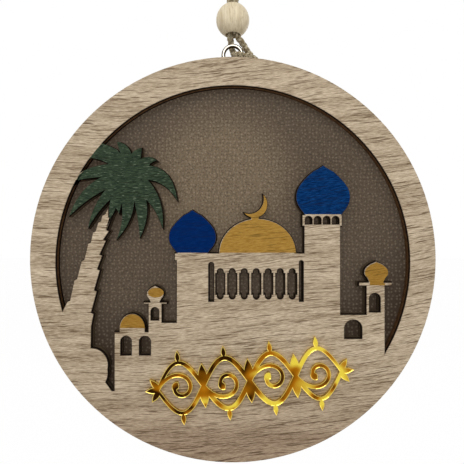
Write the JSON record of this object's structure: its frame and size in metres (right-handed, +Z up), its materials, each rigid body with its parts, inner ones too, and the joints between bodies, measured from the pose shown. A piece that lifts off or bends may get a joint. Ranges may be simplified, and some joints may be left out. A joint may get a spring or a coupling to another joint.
{
  "type": "round lit hanging ornament with a pierced scene",
  "caption": "Round wooden hanging box with a pierced mosque and palm front, a gold scroll, an inner light tape, and a beaded twine loop through a screw eye.",
  "frame": {"origin": "inside top of the cord's loop, where a hook or nail holds it", "axes": "+Z up, the pierced front faces -Y and the battery cover faces +Y, +X to the right seen from the front"},
  "size_m": [0.15, 0.0185, 0.2473],
  "materials": {
    "jute_twine": "rough",
    "beech_bead": "satin",
    "plated_steel": "polished",
    "oak_veneer": "matt",
    "gold_mirror": "polished",
    "smoked_diffuser": "satin",
    "raw_wood": "matt",
    "zinc_screws": "satin",
    "white_tape": "matt",
    "light_chip": "satin",
    "resistor_black": "matt",
    "case_plastic": "matt",
    "cell_steel": "satin",
    "contact_brass": "satin",
    "switch_steel": "satin",
    "knob_black": "matt",
    "lead_sleeve": "satin"
  },
  "bodies": {
    "cord": {"hanging_cord": "jute_twine", "cord_knot": "jute_twine"},
    "bead": {"wooden_bead": "beech_bead"},
    "ornament": {"screw_eye": "plated_steel", "front_panel": "oak_veneer", "gold_scroll": "gold_mirror", "diffuser_sheet": "smoked_diffuser", "side_ring": "raw_wood", "back_panel": "oak_veneer", "back_screws": "zinc_screws", "light_tape": "white_tape", "light_chips": "light_chip", "tape_resistors": "resistor_black", "battery_case": "case_plastic", "case_screws": "zinc_screws", "coin_cells": "cell_steel", "lower_contact": "contact_brass", "side_contact": "contact_brass", "switch_body": "switch_steel", "light_leads": "lead_sleeve"},
    "battery_cover": {"battery_cover": "case_plastic"},
    "switch_slider": {"switch_slider": "knob_black"}
  },
  "joints": [
    {"name": "bead_slide", "type": "slide", "parent": "cord", "child": "bead", "axis": [0, 0, 1], "range_m": [0, 0.012]},
    {"name": "ornament_sway", "type": "hinge", "parent": "cord", "child": "ornament", "pos_m": [0, 0, -0.08], "axis": [0, 1, 0], "range_deg": [-6, 6]},
    {"name": "cover_turn", "type": "hinge", "parent": "ornament", "child": "battery_cover", "pos_m": [0, 0.0085, -0.20475], "axis": [0, 1, 0], "range_deg": [0, 30]},
    {"name": "switch_slide", "type": "slide", "parent": "ornament", "child": "switch_slider", "axis": [1, 0, 0], "range_m": [0, 0.0024]}
  ]
}
